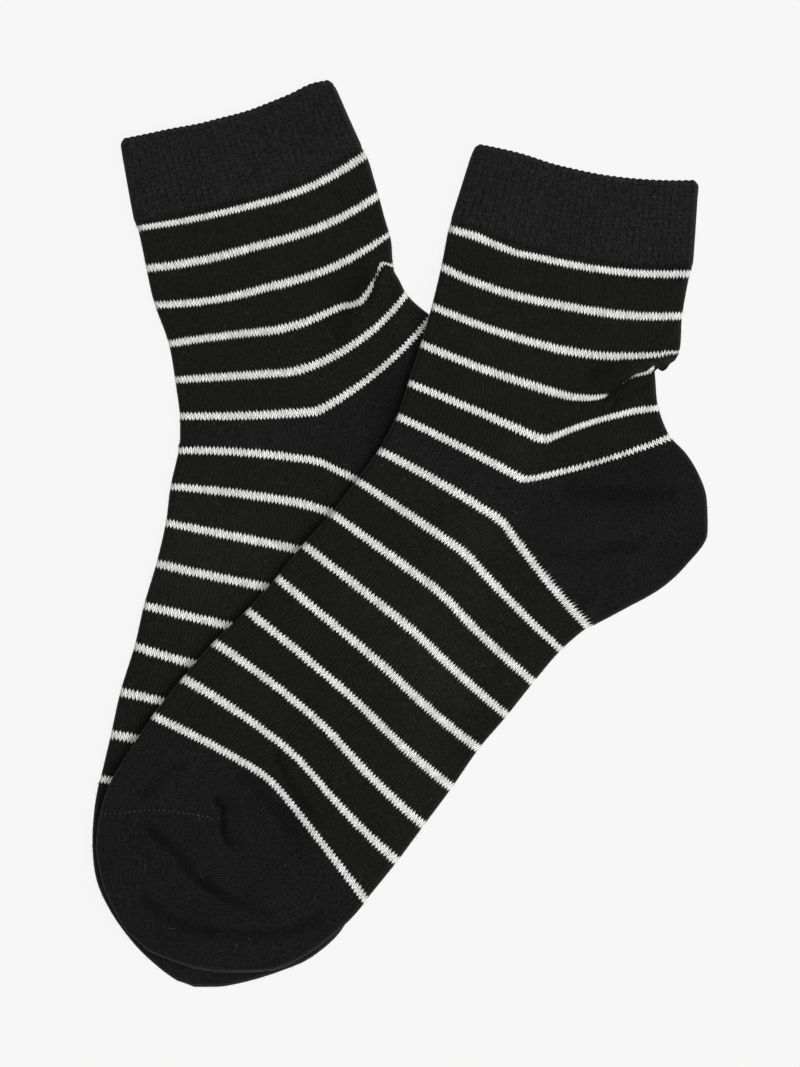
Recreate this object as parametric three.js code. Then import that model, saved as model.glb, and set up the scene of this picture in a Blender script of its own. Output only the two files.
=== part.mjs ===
// A pair of striped ankle socks laid flat, one lying across the other.
// Millimetres, +Z up, with the surface they lie on at z = 0 and the toes towards -Y.

import * as THREE from "three";

// Sizes of the knitting
const WALL = 1.2;                 // one layer of knit
const SLACK = 0.8;                // air between the two layers of a sock laid flat
const FLAT = 2 * WALL + SLACK;    // a whole flat sock
const SEAM = 0.3;                 // parting between two pieces of one sock
const LAP = 0.35;                 // parting between the over sock and the under sock

// Sizes of the cuff's rib
const RIBS = 66;                  // ribs across one side
const RIB_RISE = 0.35;

// How the over sock climbs on to the under sock
const STEP_INSIDE = 3;            // it is at full height this far outside the under sock's edge
const STEP_OUTSIDE = 13;          // and down on the surface this far outside

// Each sock's rows run across it, from the edge at the front of the leg and the top of the
// foot, over the gusset line in the middle, to the edge at the back of the leg and the sole.
// A bow is how far a half row bends towards the toe between its ends.
const COLUMNS = [
  "name", "frontX", "frontY", "gussetX", "gussetY", "backX", "backY", "frontBow", "backBow",
];

const UNDER_ROWS = [
  ["mouth", -89.5, 126, -54.5, 134, -22, 145, 0.3, 0],
  ["cuffEnd", -84.5, 98.5, -46, 107, -12, 122.5, 0.6, 1.5],
  ["stripe1", -84, 97.5, -46, 105.5, -11, 121, 0.6, 1.5],
  ["stripe2", -81, 84.5, -43.5, 92.5, -7, 108, 1, 1.5],
  ["stripe3", -78, 73, -41, 79.5, -4, 96, 1.5, 1.9],
  ["stripe4", -74, 60.5, -40, 66, -2.5, 87, -0.9, 3.8],
  ["stripe5", -72, 49, -34.5, 51.5, 2, 76.5, 0, 3.8],
  ["stripe6", -70.5, 37.5, -26.5, 39, 10, 69.5, 0.6, 2.2],
  ["heelStart", -70.5, 36, -26, 37, 12, 68.5, 0.5, 2],
  ["heel1", -70.5, 35, -26, 35.5, 20, 65.5, 0.3, 1],
  ["heel2", -70.5, 34, -26, 34, 28.5, 60, 0, 0],
  ["heel3", -70.5, 33, -26, 32, 34.5, 50, -0.3, 0],
  ["heel4", -70.5, 32, -25.5, 30, 33, 38, -0.6, 0],
  ["heel5", -70.5, 30.5, -25.5, 28, 28, 26.5, -1, 0.3],
  ["heel6", -70.5, 29.5, -25.5, 26, 20.5, 16, -1.3, 0.6],
  ["heelEnd", -71, 28, -25.5, 24.5, 15, 8, -1.3, 0.8],
  ["stripe7", -71, 26.5, -25.5, 23, 13.5, 6, -1.3, 0.9],
  ["stripe8", -73.5, 15, -31, 9.5, 9, -4, -0.6, -0.3],
  ["stripe9", -75, 3.5, -33, -5, 5.5, -18, 0, -0.3],
  ["stripe10", -78, -9.5, -35.5, -18.5, 3, -31, 0.3, 0],
  ["stripe11", -82, -23, -37.5, -34, 0, -44.5, -0.2, 0],
  ["stripe12", -85, -36, -40, -48.5, -2.5, -59.5, 0, 0.4],
  ["stripe13", -89.5, -50.5, -45, -61.5, -5, -74, -0.3, 0.2],
  ["stripe14", -92.5, -64, -48, -74.5, -7, -88, -0.6, -0.3],
  ["stripe15", -96, -78.5, -54, -84.5, -10.5, -104, -0.6, -0.6],
  ["toeStart", -96.5, -80, -54.5, -86, -11, -105.5, -0.6, -0.6],
  ["toe1", -98, -89, -56.5, -97, -13.5, -115, -0.6, -0.6],
  ["toe2", -98.5, -100.5, -59.5, -110, -19, -127, -0.3, -0.3],
  ["toe3", -97, -111.5, -63, -121, -28.5, -135.5, 0, 0],
  ["toe4", -92, -122, -65.5, -130, -38.5, -140, 0, 0],
  ["toe5", -84.5, -132, -67, -137, -50, -143.5, 0, 0],
  ["toe6", -77, -139, -68, -141.5, -59.5, -145, 0, 0],
  ["tip", -71.5, -143, -68.5, -144, -66, -145, 0, 0],
];

const OVER_ROWS = [
  ["mouth", 24, 124, 58, 115.5, 95, 112.5, -0.8, 1.1],
  ["cuffEnd", 16, 99, 54, 87.5, 93, 84.5, 1, 1.2],
  ["stripe1", 15.5, 97.5, 54, 86, 92.5, 83, 0.9, 1.2],
  ["stripe2", 13, 85, 51.5, 73, 90, 69, 1.8, 1],
  ["stripe3", 10, 72.5, 48, 59.5, 89, 58, 0.6, 2.6],
  ["stripe4", 6.5, 60.5, 47, 46.5, 80, 51.5, 0, 5.4],
  ["stripe5", 2.5, 48, 46, 31, 82, 41, -0.6, -1.9],
  ["stripe6", -1, 37.5, 39.5, 17, 85.5, 32, -0.5, 0],
  ["heelStart", -2, 36, 38.5, 15.5, 86.5, 30.5, -0.5, 0],
  ["heel1", -2.5, 35, 38, 14.5, 92, 23.5, -0.6, 0],
  ["heel2", -3, 34, 37.5, 13.5, 97, 12.5, -0.8, 0],
  ["heel3", -3.5, 33, 37, 12.5, 98, 0.5, -1, 0],
  ["heel4", -4, 32, 36.5, 11, 91.5, -9.5, -1.1, 0],
  ["heel5", -5, 30.5, 35.5, 9.5, 81.5, -17.5, -1.3, 0.3],
  ["heel6", -5.5, 29, 35, 7.5, 70, -24, -1.3, 0.6],
  ["heelEnd", -6, 28, 34.5, 6, 61.5, -28.5, -1.4, 0.8],
  ["stripe7", -7, 26.5, 33.5, 4.5, 59.5, -29.5, -1.4, 0.9],
  ["stripe8", -14, 17, 21, -6.5, 50.5, -36.5, -0.8, -0.3],
  ["stripe9", -22, 6.5, 14, -17.5, 42, -47, -0.7, -0.3],
  ["stripe10", -31, -3.5, 6, -31, 33.5, -58, -0.5, 0],
  ["stripe11", -39.5, -14, -3.5, -43.5, 24.5, -68.5, -1, 0],
  ["stripe12", -49, -24.5, -13, -55.5, 16, -81, -0.5, 0.4],
  ["stripe13", -59.5, -34.5, -23.5, -63, 7, -93, -0.3, 0.2],
  ["stripe14", -69.5, -46, -32, -72, -1, -104.5, -0.8, -0.3],
  ["stripe15", -79, -58, -42, -79, -11, -117, -0.6, -0.6],
  ["toeStart", -80, -59.5, -43, -80.5, -12, -118.5, -0.6, -0.6],
  ["toe1", -88, -71.5, -51, -92, -18.5, -125.5, -0.6, -0.6],
  ["toe2", -93.5, -81.5, -60.5, -104, -30, -134.5, -0.3, -0.3],
  ["toe3", -96.5, -92.5, -68.5, -113.5, -42, -139.5, 0, 0],
  ["toe4", -97, -102, -75, -120, -54, -140, 0, 0],
  ["toe5", -95, -112, -80, -125.5, -64.5, -139, 0, 0],
  ["toe6", -91.5, -120, -82.5, -128, -74, -136, 0, 0],
  ["tip", -87.5, -127, -84, -130, -81, -133, 0, 0],
];

// The largest folds stand up from a sock's upper layer as soft ridges.
const FOLD_COLUMNS = ["startX", "startY", "endX", "endY", "rise", "reach"];

const UNDER_FOLDS = [
  [-19, 61, -9.5, 86, 1.8, 4.5],      // ankle, beside the crease
  [-3, 64, 1, 78, 1.0, 4],            // far side of the crease
];

const OVER_FOLDS = [
  [60, 47, 84, 57.5, 1.9, 5],         // ankle flap above the crease
  [66, 38, 80, 46, 0.9, 4],           // below the crease
  [58, -27, 64, -18, 0.8, 5],         // back edge under the heel
  [-82, -96, -60, -115, 0.7, 4.5],    // toe, above the gore
  [-84, -118, -50, -127, 0.6, 4.5],   // toe, under the gore
];

// Names the columns of a table.
function readTable(columns, rows) {
  return rows.map((row) => Object.fromEntries(columns.map((column, i) => [column, row[i]])));
}

// The slope at a row, held down where one neighbour is much nearer than the other.
function easySlope(stepBefore, stepAfter) {
  const limit = 3 * Math.min(Math.abs(stepBefore), Math.abs(stepAfter));
  return Math.max(-limit, Math.min(limit, (stepBefore + stepAfter) / 2));
}

// A smooth value between rows, through every row's own value.
function between(rows, column, at) {
  const last = rows.length - 1;
  const low = Math.max(0, Math.min(last - 1, Math.floor(at)));
  const t = at - low;
  const value = (i) => rows[Math.max(0, Math.min(last, i))][column];
  const [a, b, c, d] = [value(low - 1), value(low), value(low + 1), value(low + 2)];
  const slopeIn = easySlope(b - a, c - b);
  const slopeOut = easySlope(c - b, d - c);
  const square = t * t;
  const cube = square * t;
  return b * (2 * cube - 3 * square + 1) + slopeIn * (cube - 2 * square + t)
    + c * (3 * square - 2 * cube) + slopeOut * (cube - square);
}

function smoothStep(t) {
  const clamped = Math.max(0, Math.min(1, t));
  return clamped * clamped * (3 - 2 * clamped);
}

// Distance from a point to the straight piece from a to b.
function distanceToPiece(x, y, a, b) {
  const dx = b[0] - a[0];
  const dy = b[1] - a[1];
  const length = dx * dx + dy * dy;
  const t = length > 0 ? Math.max(0, Math.min(1, ((x - a[0]) * dx + (y - a[1]) * dy) / length)) : 0;
  return Math.hypot(x - a[0] - t * dx, y - a[1] - t * dy);
}

function distanceToLine(x, y, line) {
  let nearest = Infinity;
  for (let i = 0; i + 1 < line.length; i += 1) {
    nearest = Math.min(nearest, distanceToPiece(x, y, line[i], line[i + 1]));
  }
  return nearest;
}

function isInside(x, y, line) {
  let inside = false;
  for (let i = 0, j = line.length - 1; i < line.length; j = i, i += 1) {
    const [ax, ay] = line[i];
    const [bx, by] = line[j];
    if ((ay > y) !== (by > y) && x < ((bx - ax) * (y - ay)) / (by - ay) + ax) {
      inside = !inside;
    }
  }
  return inside;
}

// One half of a row: a shallow arc from a to b that bends towards the toe by bow.
function halfRow(a, b, bow, t) {
  const dx = b[0] - a[0];
  const dy = b[1] - a[1];
  const bend = (4 * t * (1 - t) * bow) / Math.hypot(dx, dy);
  return [a[0] + dx * t + dy * bend, a[1] + dy * t - dx * bend];
}

const KINK = 0.03;                // share of the row over which its kink at the gusset is softened

// The plan of one sock: its rows, its outline and the height at which it lies.
class FlatSock {
  constructor(rows, folds, under) {
    this.rows = readTable(COLUMNS, rows);
    this.folds = readTable(FOLD_COLUMNS, folds);
    this.under = under;
    this.tip = this.rows.length - 1;
    const front = [];
    const back = [];
    for (let at = 0; at <= this.tip + 1e-9; at += 0.2) {
      front.push(this.point(at, 0));
      back.push(this.point(at, 1));
    }
    const end = [0.2, 0.4, 0.6, 0.8].map((t) => this.point(this.tip, t));
    this.edge = [...front, ...end, ...back.reverse()];
  }

  row(name) {
    return this.rows.findIndex((row) => row.name === name);
  }

  rawPoint(at, t) {
    const value = (column) => between(this.rows, column, at);
    const gusset = [value("gussetX"), value("gussetY")];
    if (t < 0.5) {
      return halfRow([value("frontX"), value("frontY")], gusset, value("frontBow"), 2 * t);
    }
    return halfRow(gusset, [value("backX"), value("backY")], value("backBow"), 2 * t - 1);
  }

  // A point on the row at, the share t of the way from the front edge to the back edge.
  point(at, t) {
    const before = this.rawPoint(at, t - KINK);
    const here = this.rawPoint(at, t);
    const after = this.rawPoint(at, t + KINK);
    return [0, 1].map((i) => (before[i] + 2 * here[i] + after[i]) / 4);
  }

  // The same point moved towards the toe, at a right angle to the row.
  shiftedPoint(at, t, shift) {
    const [x, y] = this.point(at, t);
    const before = this.point(at, t - KINK);
    const after = this.point(at, t + KINK);
    const dx = after[0] - before[0];
    const dy = after[1] - before[1];
    const length = Math.hypot(dx, dy);
    return [x + (dy / length) * shift, y - (dx / length) * shift];
  }

  edgeDistance(x, y) {
    return distanceToLine(x, y, this.edge);
  }

  // Height of the surface that this sock's lower layer lies on.
  ground(x, y) {
    if (!this.under) {
      return 0;
    }
    const away = this.under.edgeDistance(x, y) * (isInside(x, y, this.under.edge) ? -1 : 1);
    return (FLAT + LAP) * smoothStep((STEP_OUTSIDE - away) / (STEP_OUTSIDE - STEP_INSIDE));
  }

  // How far the folds lift the upper layer.
  foldRise(x, y) {
    let rise = 0;
    for (const fold of this.folds) {
      const start = [fold.startX, fold.startY];
      const away = distanceToPiece(x, y, start, [fold.endX, fold.endY]) / fold.reach;
      rise = Math.max(rise, fold.rise * smoothStep(1 - away));
    }
    return rise;
  }

  // The share of the row at which it is depth inside the edge, from the front or the back.
  shareAtDepth(at, depth, fromBack) {
    let low = 0;
    let high = 0.5;
    for (let i = 0; i < 24; i += 1) {
      const middle = (low + high) / 2;
      const [x, y] = this.point(at, fromBack ? 1 - middle : middle);
      if (this.edgeDistance(x, y) < depth) {
        low = middle;
      } else {
        high = middle;
      }
    }
    return fromBack ? 1 - high : high;
  }

  // Shares along a row, close together at both folded edges, even in between.
  shares(at, depth, edgeSteps, spans) {
    const first = depth > 0 ? this.shareAtDepth(at, depth, false) : 0;
    const last = depth > 0 ? this.shareAtDepth(at, depth, true) : 1;
    const [ax, ay] = this.point(at, first);
    const [bx, by] = this.point(at, last);
    const width = Math.hypot(bx - ax, by - ay);
    const steps = edgeSteps.map((step) => Math.min(step / width, 0.1 * step / edgeSteps.at(-1)));
    const list = [...steps];
    const inner = steps.at(-1);
    for (let i = 1; i < spans; i += 1) {
      list.push(inner + ((1 - 2 * inner) * i) / spans);
    }
    list.push(...steps.map((step) => 1 - step).reverse());
    return list.map((share) => first + (last - first) * share);
  }

  // A closed ring round the flat tube at one row. depth is 0 on the outside of the knit and
  // WALL on its inside; a zipped ring has its two layers together, as at the tip of the toe.
  ring(at, { depth = 0, shift = 0, zipped = false, ribs = 0 } = {}) {
    const round = FLAT / 2 - depth;
    const edgeSteps = depth > 0 ? [0, 0.15, 0.5] : [0, 0.25, 0.8, 1.7];
    const spans = depth > 0 ? 7 : 9;
    const plain = this.shares(at, depth, edgeSteps, spans);
    const place = (share, side, rib) => {
      const [x, y] = this.shiftedPoint(at, share, shift);
      const inFromEdge = Math.min(1, Math.max(0, this.edgeDistance(x, y) - depth) / round);
      const atEdge = share === plain[0] || share === plain.at(-1);
      const half = zipped || atEdge ? 0 : round * Math.sqrt(1 - (1 - inFromEdge) ** 2);
      const lift = side > 0 ? this.foldRise(x, y) * Math.min(1, half / round) : 0;
      return new THREE.Vector3(x, y, this.ground(x, y) + FLAT / 2 + side * half + lift + rib);
    };
    const top = [];
    if (ribs > 0) {
      top.push([plain[0], 0], [plain[1], 0], [plain[2], 0]);
      const start = plain[3];
      const width = plain.at(-4) - start;
      for (let i = 0; i < 2 * ribs; i += 1) {
        top.push([start + (width * (i + 0.5)) / (2 * ribs), i % 2 ? RIB_RISE : 0]);
      }
      top.push([plain.at(-3), 0], [plain.at(-2), 0], [plain.at(-1), 0]);
    } else {
      top.push(...plain.map((share) => [share, 0]));
    }
    const ring = top.map(([share, rib]) => ({ turn: share, point: place(share, 1, rib) }));
    for (const share of plain.slice(1, -1).reverse()) {
      ring.push({ turn: 2 - share, point: place(share, -1, 0) });
    }
    return ring;
  }
}

// Adds the triangles between two rings with equal numbers of points.
function bridge(triangles, a, b) {
  for (let i = 0; i < a.length; i += 1) {
    const j = (i + 1) % a.length;
    triangles.push([a[i].point, b[i].point, b[j].point], [a[i].point, b[j].point, a[j].point]);
  }
}

// Adds the flat rim between an outer and an inner ring, whatever numbers of points they have.
function rim(triangles, outer, inner, facingToe) {
  const turnOf = (ring, i) => (i < ring.length ? ring[i].turn : ring[0].turn + 2);
  const pointOf = (ring, i) => ring[i % ring.length].point;
  let i = 0;
  let j = 0;
  while (i < outer.length || j < inner.length) {
    const nextOuter = i < outer.length ? turnOf(outer, i + 1) : Infinity;
    const nextInner = j < inner.length ? turnOf(inner, j + 1) : Infinity;
    const stepOuter = nextOuter <= nextInner;
    const triangle = stepOuter
      ? [pointOf(outer, i), pointOf(outer, i + 1), pointOf(inner, j)]
      : [pointOf(outer, i), pointOf(inner, j + 1), pointOf(inner, j)];
    triangles.push(facingToe ? triangle.reverse() : triangle);
    if (stepOuter) {
      i += 1;
    } else {
      j += 1;
    }
  }
}

function geometryOf(triangles) {
  const positions = [];
  for (const triangle of triangles) {
    for (const point of triangle) {
      positions.push(point.x, point.y, point.z);
    }
  }
  const geometry = new THREE.BufferGeometry();
  geometry.setAttribute("position", new THREE.Float32BufferAttribute(positions, 3));
  geometry.computeVertexNormals();
  return geometry;
}

// A stretch of the tube between two rows, as a wall round the space inside. The closed
// stretch is the toe, whose two layers meet at the tip.
function wallBetween(sock, { from, to, outerSteps, innerSteps, closed = false, ribs = 0 }) {
  const rings = (steps, depth) => {
    const end = closed && depth > 0 ? to - TIP_INSET : to;
    const list = [];
    for (let i = 0; i <= steps; i += 1) {
      const shift = i === 0 ? SEAM / 2 : i === steps && !closed ? -SEAM / 2 : 0;
      const ribbed = depth > 0 ? 0 : ribs;
      const zipped = closed && i === steps;
      list.push(sock.ring(from + ((end - from) * i) / steps, { depth, shift, zipped, ribs: ribbed }));
    }
    return list;
  };
  const outer = rings(outerSteps, 0);
  const inner = rings(innerSteps, WALL);
  const triangles = [];
  for (let i = 0; i + 1 < outer.length; i += 1) {
    bridge(triangles, outer[i], outer[i + 1]);
  }
  for (let i = 0; i + 1 < inner.length; i += 1) {
    bridge(triangles, inner[i + 1], inner[i]);
  }
  rim(triangles, outer[0], inner[0], false);
  if (!closed) {
    rim(triangles, outer.at(-1), inner.at(-1), true);
  }
  return geometryOf(triangles);
}

const TIP_INSET = 0.8;            // rows by which the space inside ends before the tip

const PIECES = [
  { name: "cuff", from: "mouth", to: "cuffEnd", outerSteps: 2, innerSteps: 1, ribs: RIBS },
  { name: "leg", from: "cuffEnd", to: "heelStart", outerSteps: 16, innerSteps: 8 },
  { name: "heel", from: "heelStart", to: "heelEnd", outerSteps: 11, innerSteps: 7 },
  { name: "foot", from: "heelEnd", to: "toeStart", outerSteps: 19, innerSteps: 10 },
  { name: "toe", from: "toeStart", to: "tip", outerSteps: 14, innerSteps: 8, closed: true },
];

const BLACK_KNIT = { color: 0x1c1c1c, roughness: 0.95, metalness: 0 };
const BLACK_RIB = { color: 0x202020, roughness: 0.97, metalness: 0 };

function makeSock(sock, name) {
  const group = new THREE.Group();
  for (const piece of PIECES) {
    const geometry = wallBetween(sock, {
      ...piece,
      from: sock.row(piece.from),
      to: sock.row(piece.to),
    });
    const finish = piece.name === "cuff" ? BLACK_RIB : BLACK_KNIT;
    const mesh = new THREE.Mesh(geometry, new THREE.MeshStandardMaterial(finish));
    mesh.name = `${name}_${piece.name}`;
    group.add(mesh);
  }
  return group;
}

const underSock = new FlatSock(UNDER_ROWS, UNDER_FOLDS, null);
const overSock = new FlatSock(OVER_ROWS, OVER_FOLDS, underSock);

const pair = new THREE.Group();
pair.name = "pair_of_socks";
pair.add(makeSock(underSock, "under_sock"));
pair.add(makeSock(overSock, "over_sock"));

export default pair;
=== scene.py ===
# A pair of striped ankle socks, laid flat with one lying across the other.

import math

import bmesh
import bpy
import numpy as np
from mathutils import Matrix


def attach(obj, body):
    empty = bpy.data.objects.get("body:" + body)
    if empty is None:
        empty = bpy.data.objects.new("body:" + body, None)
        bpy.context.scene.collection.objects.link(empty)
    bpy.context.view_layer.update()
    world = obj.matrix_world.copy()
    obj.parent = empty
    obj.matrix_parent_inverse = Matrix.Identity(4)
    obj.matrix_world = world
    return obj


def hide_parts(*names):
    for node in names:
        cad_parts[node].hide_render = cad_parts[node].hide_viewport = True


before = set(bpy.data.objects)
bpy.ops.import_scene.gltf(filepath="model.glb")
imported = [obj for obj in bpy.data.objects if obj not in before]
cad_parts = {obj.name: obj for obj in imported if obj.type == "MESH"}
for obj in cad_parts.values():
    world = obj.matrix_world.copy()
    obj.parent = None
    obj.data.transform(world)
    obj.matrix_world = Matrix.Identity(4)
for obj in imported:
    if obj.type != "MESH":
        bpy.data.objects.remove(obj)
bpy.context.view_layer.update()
MM = 0.001

# The surface, the light and the camera. The socks lie on a white light table, which shines
# evenly and so hardly shows a shadow, under broad studio lamps. The camera looks straight down.
VIEW_HEIGHT = 341.4 * MM        # what the picture's height shows of the table
CAMERA_RISE = 1.5
SENSOR_HEIGHT = 24.0
TABLE_SIZE = 6.0
TABLE_GLOW = 0.89
TABLE_COLOUR = (0.03, 0.03, 0.03, 1.0)

scene = bpy.context.scene
scene.view_settings.view_transform = "Standard"

camera_data = bpy.data.cameras.new("camera")
camera_data.sensor_fit = "VERTICAL"
camera_data.sensor_height = SENSOR_HEIGHT
camera_data.lens = SENSOR_HEIGHT * CAMERA_RISE / VIEW_HEIGHT
camera = bpy.data.objects.new("camera", camera_data)
camera.location = (-0.16 * MM, 0.0, CAMERA_RISE)
scene.collection.objects.link(camera)
scene.camera = camera

bm = bmesh.new()
bmesh.ops.create_grid(bm, x_segments=1, y_segments=1, size=TABLE_SIZE / 2)
table_mesh = bpy.data.meshes.new("table_top")
bm.to_mesh(table_mesh)
bm.free()
table = bpy.data.objects.new("table_top", table_mesh)
table.location = (0.0, 0.0, -0.05 * MM)
scene.collection.objects.link(table)

table_glass = bpy.data.materials.new("table_glass")
table_glass.use_nodes = True
table_shader = table_glass.node_tree.nodes["Principled BSDF"]
table_shader.inputs["Base Color"].default_value = TABLE_COLOUR
table_shader.inputs["Roughness"].default_value = 0.9
table_shader.inputs["Specular IOR Level"].default_value = 0.0
table_shader.inputs["Emission Color"].default_value = (1.0, 1.0, 1.0, 1.0)
table_shader.inputs["Emission Strength"].default_value = TABLE_GLOW
table_mesh.materials.append(table_glass)

# name, place in metres, size in metres, watts
STUDIO_LIGHTS = (
    ("softbox", (1.3, -0.4, 1.45), 1.3, 39.0),
    ("fill", (-0.8, 0.9, 2.0), 2.0, 9.0),
)
for light_name, spot, size, watts in STUDIO_LIGHTS:
    light_data = bpy.data.lights.new(light_name, "AREA")
    light_data.shape = "DISK"
    light_data.size = size
    light_data.energy = watts
    light = bpy.data.objects.new(light_name, light_data)
    light.location = spot
    # a lamp shines along its own -Z, so its +Z points from the socks to the lamp
    turn = math.atan2(spot[1], spot[0])
    tilt = math.atan2(math.hypot(spot[0], spot[1]), spot[2])
    light.rotation_euler = (0.0, tilt, turn)
    scene.collection.objects.link(light)

sky = bpy.data.worlds.new("studio")
sky.use_nodes = True
sky.node_tree.nodes["Background"].inputs["Color"].default_value = (1.0, 1.0, 1.0, 1.0)
sky.node_tree.nodes["Background"].inputs["Strength"].default_value = 0.52
scene.world = sky

# How the knitting lies. Each sock is one tube of knitting pressed flat, so every course of
# stitches runs across it from the front edge, over the gusset line in the middle, to the back
# edge. A row of a table is one course: its three places in millimetres, how far each half bows
# towards the toe, and how far down the tube it was knitted.
COLUMNS = ("frontX", "frontY", "gussetX", "gussetY", "backX", "backY", "frontBow", "backBow", "course")

UNDER_SOCK_ROWS = (
    ("mouth", -89.5, 125.8, -54.5, 133.6, -22, 144.8, 0.2, 0, 0),
    ("cuff_end", -84.5, 98.5, -46, 106.7, -12, 122.5, 0.6, 2, 25),
    ("stripe_1", -84, 97.5, -46, 105.2, -11, 121, 0.6, 2.1, 26.6),
    ("stripe_2", -81, 84.5, -43.5, 92.5, -7, 108, 1, 2.1, 38.9),
    ("stripe_3", -78, 73, -41, 79.1, -4, 95.5, 1.5, 2.5, 51.2),
    ("stripe_4", -74, 60.5, -40, 64.8, -2.5, 87, -0.4, 3.8, 63.5),
    ("stripe_5", -72, 49, -34.5, 51.5, 2, 76.5, 0, 3.8, 75.8),
    ("stripe_6", -70.5, 37.5, -26.5, 39, 10, 69.5, 0.6, 2.6, 88.1),
    ("heel_start", -70.5, 36, -26, 37, 12, 68.5, 0.5, 2, 89.7),
    ("heel_1", -70.5, 35, -26, 35.5, 20, 65.5, 0.3, 1, 90.9),
    ("heel_2", -70.5, 34, -26, 34, 28.5, 60, 0, 0, 92.1),
    ("heel_3", -70.5, 33, -26, 32, 34.5, 50, -0.3, 0, 93.4),
    ("heel_4", -70.5, 32, -25.5, 30, 33, 38, -0.6, 0, 94.7),
    ("heel_5", -70.5, 30.5, -25.5, 28, 28, 26.5, -1, 0.3, 96),
    ("heel_6", -70.5, 29.5, -25.5, 26, 20.5, 16, -1.3, 0.6, 97.3),
    ("heel_end", -71, 28, -25.5, 24.5, 15, 8, -1.3, 0.8, 98.8),
    ("stripe_7", -71, 26.5, -25.5, 23, 13.5, 6, -1, 0.9, 100.4),
    ("stripe_8", -73.5, 15, -31, 9.5, 9, -4, -0.6, -0.3, 112.7),
    ("stripe_9", -75, 3.5, -33, -5, 5.5, -18, 0, -0.3, 125),
    ("stripe_10", -78, -9.5, -35.5, -18.5, 3, -31, 0.3, 0, 137.3),
    ("stripe_11", -82, -23, -37.5, -34, 0, -44.5, -0.2, 0, 149.6),
    ("stripe_12", -85, -36, -40, -48.5, -2.5, -59.5, 0.5, 0.4, 161.9),
    ("stripe_13", -89.5, -50.5, -45, -61.5, -5, -74, -0.3, 0.2, 174.2),
    ("stripe_14", -92.5, -64, -48, -74.5, -7, -88, -0.6, -0.3, 186.5),
    ("stripe_15", -96, -78.5, -54, -84.5, -10.5, -104, -0.6, -0.6, 198.8),
    ("toe_start", -96.5, -80, -54.5, -86, -11, -105.5, -0.6, -0.6, 200.4),
    ("toe_1", -98, -89, -56.5, -97, -13.5, -115, -0.6, -0.6, 210),
    ("toe_2", -98.5, -100.5, -59.5, -110, -19, -127, -0.3, -0.3, 221),
    ("toe_3", -97, -111.5, -63, -121, -28.5, -135.5, 0, 0, 231),
    ("toe_4", -92, -122, -65.5, -130, -38.5, -140, 0, 0, 240),
    ("toe_5", -84.5, -132, -67, -137, -50, -143.5, 0, 0, 247),
    ("toe_6", -77, -139, -68, -141.5, -59.5, -145, 0, 0, 252),
    ("tip", -71.5, -143, -68.5, -144, -66, -145, 0, 0, 255),
)

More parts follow.
